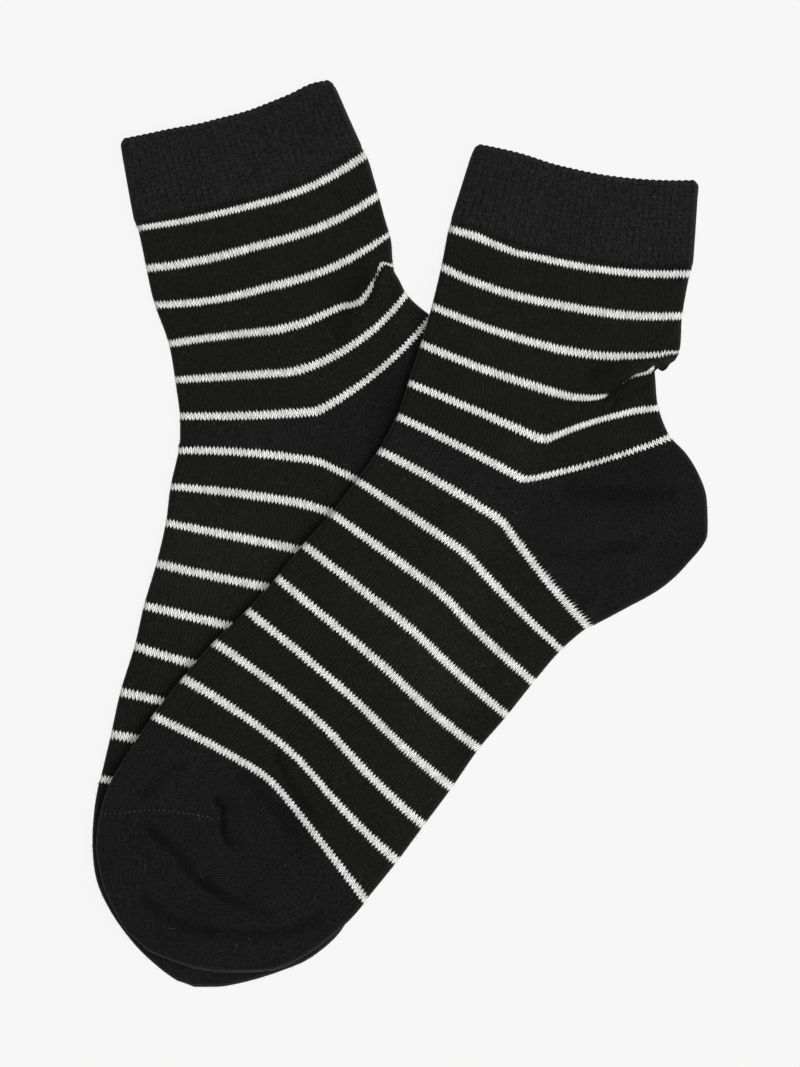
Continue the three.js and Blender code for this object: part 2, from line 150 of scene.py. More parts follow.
OVER_SOCK_ROWS = (
    ("mouth", 24, 124.4, 58, 115.6, 95, 112.7, -0.7, 1.1, 0),
    ("cuff_end", 16, 99, 54, 87.5, 93, 84.5, 1, 1.2, 25),
    ("stripe_1", 15.5, 97.5, 54, 86, 92.5, 83, 0.9, 1.2, 26.6),
    ("stripe_2", 13, 85, 51.5, 73, 90, 69.5, 1.8, 1.5, 38.9),
    ("stripe_3", 10, 72.5, 46.5, 59.8, 89, 58, 0.9, 2.4, 51.2),
    ("stripe_4", 6.5, 60.5, 47, 45.7, 80, 51.5, 0.8, 5.1, 63.5),
    ("stripe_5", 2.5, 48, 46, 29.5, 82.4, 40, -0.2, -1.7, 75.8),
    ("stripe_6", -1, 37.5, 39.5, 17, 86, 30.8, -0.3, 1.2, 88.1),
    ("heel_start", -2, 36, 38.5, 15.5, 87.2, 29.3, -0.4, 1.1, 89.7),
    ("heel_1", -2.5, 35, 38, 14.5, 94, 21.5, -0.5, 0.6, 90.9),
    ("heel_2", -3, 34, 37.5, 13.5, 98, 10.5, -0.8, 0, 92.1),
    ("heel_3", -3.5, 33, 37, 12.5, 98.2, 0, -1, 0, 93.4),
    ("heel_4", -4, 32, 36.5, 11, 91.5, -10, -1.1, 0, 94.7),
    ("heel_5", -5, 30.5, 35.5, 9.5, 83, -17.8, -1.3, 0.3, 96),
    ("heel_6", -5.5, 29, 34.7, 7, 71, -24.5, -1, 0.6, 97.3),
    ("heel_end", -6, 28, 33.9, 5.1, 62.5, -29, -0.8, 0.8, 98.8),
    ("stripe_7", -7, 26.5, 32.9, 3.6, 60, -30, -0.7, 0.9, 100.4),
    ("stripe_8", -14, 17, 21, -6.5, 51.3, -37.2, -0.2, 0.6, 112.7),
    ("stripe_9", -22, 6.5, 13, -18.9, 42.5, -47.5, -0.1, 0.8, 125),
    ("stripe_10", -31, -3.5, 5.3, -32, 34, -58.2, -0.2, 0.5, 137.3),
    ("stripe_11", -39.5, -14, -3.7, -43.7, 25, -68.8, -0.1, 0.8, 149.6),
    ("stripe_12", -49, -24.5, -12.5, -54.8, 16.4, -81.2, -0.4, 0.7, 161.9),
    ("stripe_13", -59.5, -34.5, -23.1, -62.4, 7.4, -93.2, -0.9, 0.9, 174.2),
    ("stripe_14", -69.5, -46, -32, -72, -1, -104.5, -1.2, 1.1, 186.5),
    ("stripe_15", -79, -58, -41.3, -77.9, -11, -117, -0.6, -0.2, 198.8),
    ("toe_start", -80, -59.5, -42.3, -79.4, -12, -118.5, -0.6, -0.3, 200.4),
    ("toe_1", -88, -71.5, -51, -92, -18.5, -125.5, -0.6, -0.6, 210),
    ("toe_2", -93.5, -81.5, -60.5, -104, -30, -134.5, -0.3, -0.3, 221),
    ("toe_3", -96.5, -92.5, -68.5, -113.5, -42, -139.5, 0, 0, 231),
    ("toe_4", -97, -102, -75, -120, -54, -140, 0, 0, 240),
    ("toe_5", -95, -112, -80, -125.5, -64.5, -139, 0, 0, 247),
    ("toe_6", -91.5, -120, -82.5, -128, -74, -136, 0, 0, 252),
    ("tip", -87.5, -127, -84, -130, -81, -133, 0, 0, 255),
)

# Where the cloth lies a little off its course, as at a crease: the place, how far it is moved
# and how far round about that reaches. Millimetres.
NUDGE_COLUMNS = ("x", "y", "moveX", "moveY", "reach")
UNDER_SOCK_NUDGES = (
    (-13.0, 76.5, 0.5, -2.8, 5.5),
    (-5.8, 83.5, -0.5, 2.6, 3.0),
    (-2.0, 87.0, 0.0, -1.6, 2.5),
    (-2.2, 83.4, -0.7, 0.0, 2.0),
    (-3.5, 93.0, 0.6, 0.1, 6.0),
    (-80.0, 75.0, -0.5, 0.0, 9.0),
    (-29.0, 143.5, 0.0, 1.0, 5.0),
    (-48.0, 136.0, 0.0, -0.6, 9.0),
    (-64.0, 131.0, 0.0, -0.4, 6.0),
)
OVER_SOCK_NUDGES = (
    (74.0, 47.5, 0.0, 3.0, 5.0),
    (80.0, 51.0, 0.3, 1.5, 2.5),
    (87.2, 55.0, 0.8, -1.0, 2.0),
    (79.5, 48.0, 1.5, 0.0, 5.0),
    (88.0, 26.0, 0.5, 0.3, 5.0),
    (83.5, 54.2, 1.2, -1.6, 2.2),
    (84.5, 58.0, 0.0, 0.5, 3.0),
    (83.2, 52.6, -0.6, -1.8, 1.6),
    (25.5, 97.0, 0.0, 0.8, 5.0),
    (38.0, 91.5, 0.0, -0.5, 5.0),
    (48.0, 118.0, 0.0, -0.6, 7.0),
)

# Creases of the upper layer: how far each rises, or sinks where that is negative, how far it
# reaches to either side, and the places that it runs through. Millimetres.
UNDER_SOCK_CREASES = (
    (1.5, 7.0, ((-16, 64), (-12, 74), (-8.5, 84))),
    (-0.8, 1.6, ((-10.3, 74.5), (-8.4, 79.5), (-7.7, 83), (-6.2, 85.8))),
    (0.9, 4.0, ((-3, 64), (1, 78))),
    (0.3, 5.0, ((-40, 30), (-28, 18), (-20, 10))),
)
OVER_SOCK_CREASES = (
    (1.7, 4.0, ((64, 50), (75, 54), (84, 57))),
    (-1.0, 1.3, ((65, 42.5), (69, 46.3), (73.6, 50.1), (77, 51.3), (80, 51))),
    (0.8, 3.5, ((66, 38), (80, 46))),
    (-0.5, 1.5, ((68.8, 42.6), (67.4, 40.4))),
    (0.8, 4.0, ((58, -27), (64, -18))),
    (-0.7, 4.0, ((49, -6.5), (58, -7), (66, -5.5), (76, -3.5))),
    (-0.8, 5.0, ((54, 13.5), (62, 12.5), (74, 12), (86, 13))),
    (0.8, 5.0, ((50, 3.5), (60, 4), (74, 4.5), (88, 6))),
    (-1.1, 3.3, ((-80, -94.5), (-74.7, -99), (-71.2, -102.4), (-68, -106.6), (-63.8, -110.7), (-58.7, -114.1))),
    (-0.7, 3.2, ((-63.8, -110.7), (-53.9, -117), (-48.5, -119.5), (-42.9, -121.4))),
    (0.7, 4.5, ((-82, -98), (-76, -104), (-70, -112), (-62, -118), (-50, -122.5))),
    (-0.7, 3.6, ((-81.8, -116.3), (-77.6, -120.5), (-72.8, -123.2), (-68, -125.3), (-61, -126.4))),
    (-0.8, 3.6, ((-61, -126.4), (-53.9, -127.4), (-43.7, -127.7), (-33.1, -125.9), (-26.2, -122.4))),
    (-0.5, 3.4, ((-82.4, -83), (-79.5, -79.5), (-75.4, -76), (-69.9, -73.6))),
    (-0.8, 2.4, ((-39.5, -71), (-37.5, -76), (-34, -82), (-29, -88))),
    (-0.7, 4.0, ((-50.5, -77.6), (-45, -81), (-40, -87), (-35, -95))),
    (-1.6, 1.9, ((-58.6, -85.1), (-56.3, -87.8), (-56.8, -92.6), (-56.3, -96.2), (-54.6, -98.7))),
    (0.5, 3.0, ((-62.5, -95), (-61, -101), (-57, -105))),
    (0.4, 3.0, ((-51.5, -86), (-50, -93), (-49, -99))),
)

# Where the yarn is made lighter or darker: painted shade beside the ankle creases and in the heels' folds,
# painted shadow where the over sock's edge lies across the under sock's heel, a painted highlight on the lit
# flap at the ankle, and broader lighter or darker patches on the feet and toes. The place, how far that reaches,
# and the gain.
UNDER_SOCK_TONES = (
    (-66, -6, 24, 0.24),
    # painted shade beside the ankle crease
    (-12, 79, 6, -0.22),
    (-15, 71, 6, -0.2),
    (-20, 61, 7, -0.14),
    # painted shadow of the over sock's edge on the heel
    (-3, 47, 8, -0.2),
    (0, 36, 7, -0.15),
    (-60, -125, 30, 0.06),
)
OVER_SOCK_TONES = (
    (-14, -20, 12, 0.12),
    (-1, -32, 13, 0.16),
    (12, -44, 11, 0.12),
    # painted shade in the heel's folds and beside the ankle flap
    (60, 18, 9, -0.14),
    (76, 19, 9, -0.14),
    (50, 41, 8, -0.1),
    (66, 51, 7, -0.14),
    # painted highlight on the lit ankle flap
    (84.5, 55, 2.5, 0.4),
    (-66, -100, 34, -0.06),
    (-32, -96, 13, -0.12),
    (-44, -112, 11, -0.08),
    (-70, -124, 10, -0.1),
)

# Stripes that are partly tucked into a crease: how much of the stripe's width shows from place
# to place along X. Millimetres, and shares of the width.
UNDER_SOCK_TUCKS = {
    "stripe_6": ((-4.0, 1.0), (4.0, 0.8), (10.0, 0.7)),
    "stripe_3": ((-8.0, 1.0), (-4.5, 0.75)),
    "stripe_4": ((-11.0, 1.0), (-9.2, 0.85), (-8.2, 0.35), (-7.6, 0.25), (-6.9, 0.5), (-5.6, 0.75), (-2.4, 0.7)),
}
OVER_SOCK_TUCKS = {
    "stripe_3": ((77.0, 1.0), (80.0, 0.85), (83.0, 0.55), (88.0, 0.5)),
    "stripe_6": ((48.0, 1.0), (54.0, 0.8), (66.0, 0.68), (78.0, 0.72), (85.0, 0.9)),
    "stripe_4": ((59.0, 1.0), (62.5, 0.85), (65.5, 0.5), (67.2, 0.0), (72.4, 0.0), (73.4, 0.35), (76.5, 0.8),
                 (79.5, 1.1), (82.0, 1.2)),
}

WALL = 1.2                      # one layer of knit
SLACK = 0.8                     # air between the two layers
FLAT = 2 * WALL + SLACK         # the whole flat sock
RIM_RISE = 0.9                  # height of the folded edge's outermost line
LAP = 0.35                      # parting between the over sock and the under sock
STEP_INSIDE = 1.5               # the over sock is fully lifted this far outside the under sock
STEP_OUTSIDE = 24.0             # and down on the table this far outside
WALES = 76                      # columns of stitches across one side
PRESSED = 0.15                  # the highest wave of the under sock where it is covered
LOWER_LIFT = 0.3                # how much of a ridge the lower layer follows
CREASE_SHADE = 0.38             # painted shade: how much darker the yarn is made in a crease, a millimetre deep
SHARP_BEND = 0.03               # share of a course over which it turns at the gusset, by the heel
SOFT_BEND = 0.1                 # and further from it
BEND_TAPS = ((-1.0, 1 / 16), (-0.5, 4 / 16), (0.0, 6 / 16), (0.5, 4 / 16), (1.0, 1 / 16))


def smooth_step(share):
    """Rises softly from 0 to 1."""
    share = np.clip(share, 0.0, 1.0)
    return share * share * (3.0 - 2.0 * share)


def easy_slope(before, after):
    """The slope at a course, held down where one neighbour is much nearer than the other."""
    limit = 3.0 * np.minimum(np.abs(before), np.abs(after))
    return np.clip((before + after) / 2.0, -limit, limit)


def half_course(start, end, bow, share):
    """A shallow arc from start to end that bends towards the toe by bow."""
    run = end - start
    bend = 4.0 * share * (1.0 - share) * bow / np.hypot(run[..., 0], run[..., 1])
    x = start[..., 0] + run[..., 0] * share + run[..., 1] * bend
    y = start[..., 1] + run[..., 1] * share - run[..., 0] * bend
    return np.stack((x, y), axis=-1)


def distance_to_line(points, line):
    """Distance from each point to a line of straight pieces."""
    start = line[:-1]
    run = line[1:] - start
    length = np.maximum((run * run).sum(axis=1), 1e-12)
    nearest = np.empty(len(points))
    for first in range(0, len(points), 4000):
        some = points[first:first + 4000, None, :] - start[None]
        share = np.clip((some * run).sum(axis=2) / length, 0.0, 1.0)
        away = some - share[..., None] * run
        nearest[first:first + 4000] = np.sqrt((away * away).sum(axis=2).min(axis=1))
    return nearest


def is_inside(points, outline):
    """Which points lie inside a closed outline."""
    x, y = points[:, 0], points[:, 1]
    inside = np.zeros(len(points), dtype=bool)
    for (ax, ay), (bx, by) in zip(outline, np.roll(outline, 1, axis=0)):
        if ay != by:
            crosses = ((ay > y) != (by > y)) & (x < (bx - ax) * (y - ay) / (by - ay) + ax)
            inside ^= crosses
    return inside


# Soft unevenness of the cloth, the same on every run: waves of several lengths and directions.
WAVE_LENGTHS = (38.0, 26.0, 17.0, 11.0, 7.5)
WAVE_HEIGHTS = (0.16, 0.13, 0.09, 0.06, 0.035)
WAVES_EACH = 5
wave_draw = np.random.default_rng(11)
cloth_waves = [
    (height, length, wave_draw.uniform(0, math.pi), wave_draw.uniform(0, 2 * math.pi))
    for length, height in zip(WAVE_LENGTHS, WAVE_HEIGHTS)
    for _ in range(WAVES_EACH)
]


def unevenness(points):
    """Low waves over a layer."""
    total = np.zeros(len(points))
    for height, length, turn, start in cloth_waves:
        along = points[:, 0] * math.cos(turn) + points[:, 1] * math.sin(turn)
        total += height / math.sqrt(WAVES_EACH) * np.sin(along * 2 * math.pi / length + start)
    return total


class FlatSock:
    """The plan of one sock laid flat: where each stitch lies and how high."""

    def __init__(self, name, rows, nudges, creases, tones, tucks, under=None):
        self.name = name
        self.names = [row[0] for row in rows]
        self.table = np.array([row[1:] for row in rows], dtype=float)
        self.nudges = nudges
        self.creases = [(rise, reach, np.array(line, dtype=float)) for rise, reach, line in creases]
        self.tones = tones
        self.tucks = tucks
        self.under = under
        self.over = None
        steps = np.linspace(0, len(rows) - 1, 6 * (len(rows) - 1) + 1)
        front = self.place(steps, np.zeros((len(steps), 1)))[:, 0]
        back = self.place(steps, np.ones((len(steps), 1)))[:, 0]
        tip = self.place(steps[-1:], np.array([[0.25, 0.5, 0.75]]))[0]
        self.edge = np.concatenate((front, tip, back[::-1]))

    def row(self, name):
        return self.names.index(name)

    def values(self, at):
        """Every column of the table at the places at, smooth through every row."""
        last = len(self.table) - 1
        low = np.clip(np.floor(at).astype(int), 0, last - 1)
        share = (at - low)[:, None]
        a = self.table[np.maximum(low - 1, 0)]
        b = self.table[low]
        c = self.table[low + 1]
        d = self.table[np.minimum(low + 2, last)]
        square = share * share
        cube = square * share
        return (b * (2 * cube - 3 * square + 1) + easy_slope(b - a, c - b) * (cube - 2 * square + share)
                + c * (3 * square - 2 * cube) + easy_slope(c - b, d - c) * (cube - square))

    def place(self, at, share):
        """Points in plan: at has one value a course, share has one row of values a course."""
        values = self.values(at)[:, None, :]
        front, gusset, back = values[..., 0:2], values[..., 2:4], values[..., 4:6]
        from_heel = np.abs(at - self.row("heel_3"))[:, None]
        bend = SHARP_BEND + (SOFT_BEND - SHARP_BEND) * smooth_step((from_heel - 4.0) / 4.0)
        points = 0.0
        for offset, weight in BEND_TAPS:
            moved = share + offset * bend
            near = half_course(front, gusset, values[..., 6], 2.0 * moved)
            far = half_course(gusset, back, values[..., 7], 2.0 * moved - 1.0)
            points = points + weight * np.where((moved < 0.5)[..., None], near, far)
        shift = np.zeros_like(points)
        for x, y, move_x, move_y, reach in self.nudges:
            pull = np.exp(-((points[..., 0] - x) ** 2 + (points[..., 1] - y) ** 2) / reach ** 2)
            shift[..., 0] += move_x * pull
            shift[..., 1] += move_y * pull
        return points + shift

    def even_rows(self, start, end, pitch):
        """Places of courses about pitch apart, measured over the front, middle and back."""
        fine = np.linspace(start, end, 400)
        line = self.place(fine, np.tile([[0.0, 0.25, 0.5, 0.75, 1.0]], (len(fine), 1)))
        steps = np.hypot(*np.moveaxis(np.diff(line, axis=0), -1, 0)).mean(axis=1)
        run = np.concatenate(([0.0], np.cumsum(steps)))
        count = max(2, round(run[-1] / pitch) + 1)
        return np.interp(np.linspace(0.0, run[-1], count), run, fine)

    def ground(self, points):
        """Height of what the lower layer lies on."""
        if self.under is None:
            return np.zeros(len(points))
        away = distance_to_line(points, self.under.edge)
        away = np.where(is_inside(points, self.under.edge), -away, away)
        rise = smooth_step((STEP_OUTSIDE - away) / (STEP_OUTSIDE - STEP_INSIDE))
        return (FLAT + LAP) * rise

    def crease_rise(self, points):
        """How far the creases lift the upper layer."""
        rise = np.zeros(len(points))
        for height, reach, line in self.creases:
            rise += height * smooth_step(1.0 - distance_to_line(points, line) / reach)
        return rise

    def tone(self, points, side):
        """Painted light and shade on the yarn: the lighter and darker patches, and painted shade deep in a
        crease of the upper layer.
        """
        tone = np.ones(len(points))
        for x, y, reach, gain in self.tones:
            tone += gain * np.exp(-((points[:, 0] - x) ** 2 + (points[:, 1] - y) ** 2) / reach ** 2)
        # painted shade in the creases of the upper layer
        for height, reach, line in self.creases:
            if height < 0:
                near = smooth_step(1.0 - distance_to_line(points, line) / reach)
                tone *= 1.0 + np.where(side > 0, CREASE_SHADE * height * near, 0.0)
        return tone

    def height(self, points, side, depth):
        """Height of the upper layer (side 1) or the lower one (side -1), depth inside its face."""
        round_off = FLAT / 2 - depth
        inward = np.clip((distance_to_line(points, self.edge) - depth) / round_off, 0.0, 1.0)
        full = np.sqrt(np.clip(1.0 - (1.0 - inward) ** 2, 0.0, 1.0))
        lift = self.crease_rise(points) + unevenness(points)
        if self.over:
            # pressed flat under the other sock
            deep = distance_to_line(points, self.over.edge) * is_inside(points, self.over.edge)
            lift += (np.minimum(lift, PRESSED) - lift) * smooth_step(deep / 3.0)
        sunk = -SLACK * np.tanh(np.maximum(-lift, 0.0) / SLACK)
        raised = np.maximum(lift, 0.0)
        lift = np.where(side > 0, sunk + raised, LOWER_LIFT * raised)
        reach = np.where(side > 0, FLAT - RIM_RISE, RIM_RISE) - depth
        return self.ground(points) + RIM_RISE + full * (side * reach + lift)

    def shown_width(self, points, course):
        """How much of a stripe's width shows where the cloth is tucked into a crease."""
        shown = np.ones(len(points))
        for stripe, widths in self.tucks.items():
            middle = self.table[self.row(stripe), 8]
            near = np.abs(course - middle) < 4.0
            x, share = zip(*widths)
            shown[near] = np.interp(points[near, 0], x, share)
        return shown


under_sock = FlatSock("under_sock", UNDER_SOCK_ROWS, UNDER_SOCK_NUDGES, UNDER_SOCK_CREASES, UNDER_SOCK_TONES,
                      UNDER_SOCK_TUCKS)
over_sock = FlatSock("over_sock", OVER_SOCK_ROWS, OVER_SOCK_NUDGES, OVER_SOCK_CREASES, OVER_SOCK_TONES,
                     OVER_SOCK_TUCKS, under_sock)
under_sock.over = over_sock

# The yarns. The socks are knitted in matt black yarn, and the stripes in a silvery white one.
# A stitch shows as two slanting legs, so each colour ends in small teeth.
STRIPE_PITCH = 12.3             # courses in millimetres of knitting
FIRST_STRIPE = 26.6
STRIPE_HALF = 1.06
COURSE_PITCH = STRIPE_PITCH / 13
RIBS = 36                       # ribs of the cuff across one side
LEG_SLANT = 1.2                 # how far a stitch's leg climbs, in courses


def calc(tree, operation, first, second=None, third=None):
    """A Math node's result."""
    node = tree.nodes.new("ShaderNodeMath")
    node.operation = operation
    for slot, value in enumerate((first, second, third)):
        if value is None:
            continue
        if isinstance(value, (int, float)):
            node.inputs[slot].default_value = value
        else:
            tree.links.new(value, node.inputs[slot])
    return node.outputs[0]


def tinted(tree, level, tint):
    """A colour of the given level and tint."""
    node = tree.nodes.new("ShaderNodeCombineColor")
    for socket, part in zip(node.inputs, tint):
        tree.links.new(calc(tree, "MULTIPLY", level, part), socket)
    return node.outputs[0]


def knit_finish(name, black, contrast, groove, fuzz, striped=False, fineness=1.0, course_pitch=COURSE_PITCH,
                slant=LEG_SLANT, parting=0.5, cells=(2.0, 1.0), rib=0.0):
    """The finish of one kind of knit, which follows the piece's own wales and courses."""
    material = bpy.data.materials.new(name)
    material.use_nodes = True
    tree = material.node_tree
    shader = tree.nodes["Principled BSDF"]
    stitch = tree.nodes.new("ShaderNodeAttribute")
    stitch.attribute_name = "knit"
    split = tree.nodes.new("ShaderNodeSeparateXYZ")
    tree.links.new(stitch.outputs["Vector"], split.inputs[0])
    wale, course, shown = split.outputs
    wale = calc(tree, "MULTIPLY", wale, fineness)
    painted_light_and_tone = tree.nodes.new("ShaderNodeAttribute")
    painted_light_and_tone.attribute_name = "tone"

    # 1 on the crown of a wale and 0 in the groove between two
    crown = calc(tree, "MULTIPLY_ADD", calc(tree, "FRACT", wale), 2.0, -1.0)
    crown = calc(tree, "ABSOLUTE", crown)

    # how many courses from the middle of the first stripe, on the slanting legs
    climb = calc(tree, "DIVIDE", calc(tree, "SUBTRACT", course, FIRST_STRIPE), course_pitch)
    climb = calc(tree, "ADD", climb, calc(tree, "MULTIPLY_ADD", crown, slant, -slant / 2))

    # height of a stitch: two round legs, parted from the next course's
    in_course = calc(tree, "FRACT", climb)
    legs = calc(tree, "MULTIPLY", calc(tree, "MULTIPLY", crown, 4.0), calc(tree, "SUBTRACT", 1.0, crown))
    gap = calc(tree, "MULTIPLY", calc(tree, "MULTIPLY", in_course, 4.0), calc(tree, "SUBTRACT", 1.0, in_course))
    gap = calc(tree, "POWER", gap, 0.75)
    hole = calc(tree, "MULTIPLY", calc(tree, "SUBTRACT", 1.0, legs), calc(tree, "SUBTRACT", 1.0, gap))
    loop = calc(tree, "MULTIPLY", calc(tree, "MULTIPLY_ADD", legs, 0.42, 0.58),
                calc(tree, "MULTIPLY_ADD", gap, parting, 1.0 - parting))
    loop = calc(tree, "MULTIPLY", loop, calc(tree, "MULTIPLY_ADD", hole, -1.6 * parting, 1.0))

    # each stitch has its own lightness, and the yarn is cloudy at a larger scale
    numbered = tree.nodes.new("ShaderNodeCombineXYZ")
    for axis, (place, count) in enumerate(zip((wale, climb), cells)):
        tree.links.new(calc(tree, "FLOOR", calc(tree, "MULTIPLY", place, count)), numbered.inputs[axis])
    speckle = tree.nodes.new("ShaderNodeTexWhiteNoise")
    tree.links.new(numbered.outputs[0], speckle.inputs["Vector"])
    speckle = speckle.outputs["Value"]
    space = tree.nodes.new("ShaderNodeTexCoord")
    clouds = []
    for scale, detail in ((55.0, 2.0), (1500.0, 3.0)):
        cloud = tree.nodes.new("ShaderNodeTexNoise")
        cloud.inputs["Scale"].default_value = scale
        cloud.inputs["Detail"].default_value = detail
        tree.links.new(space.outputs["Object"], cloud.inputs["Vector"])
        clouds.append(cloud.outputs["Fac"])
    cloudy, fuzzy = clouds

    shade = calc(tree, "MULTIPLY_ADD", cloudy, 0.4, 0.8)
    # painted light and shade: the 'tone' attribute makes the black yarn lighter or darker
    shade = calc(tree, "MULTIPLY", shade, painted_light_and_tone.outputs["Fac"])
    shade = calc(tree, "MULTIPLY", shade, calc(tree, "MULTIPLY_ADD", speckle, 0.3, 0.85))
    shade = calc(tree, "MULTIPLY", shade, calc(tree, "MULTIPLY_ADD", fuzzy, fuzz, 1.0 - fuzz / 2))
    # painted shade: the yarn is made darker in the furrow between two wales
    furrow = calc(tree, "MULTIPLY", calc(tree, "SUBTRACT", crown, 0.5), calc(tree, "MULTIPLY", shown, groove))
    shade = calc(tree, "MULTIPLY", shade, calc(tree, "ADD", furrow, 1.0))
    # the stitches' legs are made lighter and the gaps between them darker: partly the gaps' own dark, partly
    # painted shade
    shade = calc(tree, "MULTIPLY", shade, calc(tree, "MULTIPLY_ADD", loop, contrast, 1.0 - contrast / 2))
    # painted light and shade on the ribs: lighter on their crowns, darker between them
    if rib:
        standing = calc(tree, "COSINE", calc(tree, "MULTIPLY", wale, math.pi))
        shade = calc(tree, "MULTIPLY", shade, calc(tree, "MULTIPLY_ADD", standing, rib, 1.0))
    colour = tinted(tree, shade, black)

    if striped:
        from_stripe = calc(tree, "PINGPONG", calc(tree, "MULTIPLY", climb, COURSE_PITCH), STRIPE_PITCH / 2)
        edge = calc(tree, "MULTIPLY_ADD", speckle, 0.3, STRIPE_HALF - 0.15)
        edge = calc(tree, "MULTIPLY", calc(tree, "ADD", edge, 0.2), shown)
        inside = calc(tree, "SUBTRACT", calc(tree, "SUBTRACT", edge, 0.2), from_stripe)
        inside = calc(tree, "MULTIPLY_ADD", inside, 7.0, 0.5)
        inside = calc(tree, "MINIMUM", calc(tree, "MAXIMUM", inside, 0.0), 1.0)
        # the silvery yarn too is made darker in the gaps between stitches, partly the gaps' own dark, partly
        # painted shade
        bright = calc(tree, "MULTIPLY", calc(tree, "POWER", loop, 1.6), 0.94)
        # the stripes are only darkened by the painted shade of the 'tone' attribute, never lightened
        bright = calc(tree, "MULTIPLY", bright, calc(tree, "MINIMUM", painted_light_and_tone.outputs["Fac"], 1.0))
        bright = calc(tree, "MULTIPLY", bright, calc(tree, "MULTIPLY_ADD", speckle, 0.5, 0.75))
        bright = calc(tree, "MULTIPLY", bright, calc(tree, "MULTIPLY_ADD", fuzzy, 0.6, 0.7))
        blend = tree.nodes.new("ShaderNodeMix")
        blend.data_type = "RGBA"
        tree.links.new(inside, blend.inputs["Factor"])
        tree.links.new(colour, blend.inputs[6])
        tree.links.new(tinted(tree, bright, (1.0, 0.995, 0.965)), blend.inputs[7])
        colour = blend.outputs[2]

    tree.links.new(colour, shader.inputs["Base Color"])
    shader.inputs["Roughness"].default_value = 0.9
    shader.inputs["Specular IOR Level"].default_value = 0.04
    shader.inputs["Sheen Weight"].default_value = 0.09
    shader.inputs["Sheen Roughness"].default_value = 0.35

    bump = tree.nodes.new("ShaderNodeBump")
    bump.inputs["Strength"].default_value = 0.8
    bump.inputs["Distance"].default_value = 0.25 * MM
    tree.links.new(calc(tree, "MULTIPLY_ADD", fuzzy, 0.35, loop), bump.inputs["Height"])
    tree.links.new(bump.outputs[0], shader.inputs["Normal"])
    return material


rib_knit = knit_finish("rib_knit", black=(0.0070, 0.0070, 0.0069), contrast=1.5, groove=0.45, fuzz=3.2,
                       fineness=2 * RIBS / WALES, course_pitch=1.31, slant=0.35, parting=0.2,
                       cells=(1.0, 1.0), rib=0.02)
striped_knit = knit_finish("striped_knit", black=(0.0070, 0.0069, 0.0065), contrast=0.8, groove=0.35, fuzz=2.2,
                           striped=True)
plain_knit = knit_finish("plain_knit", black=(0.0070, 0.0070, 0.0069), contrast=0.9, groove=1.1, fuzz=2.6)


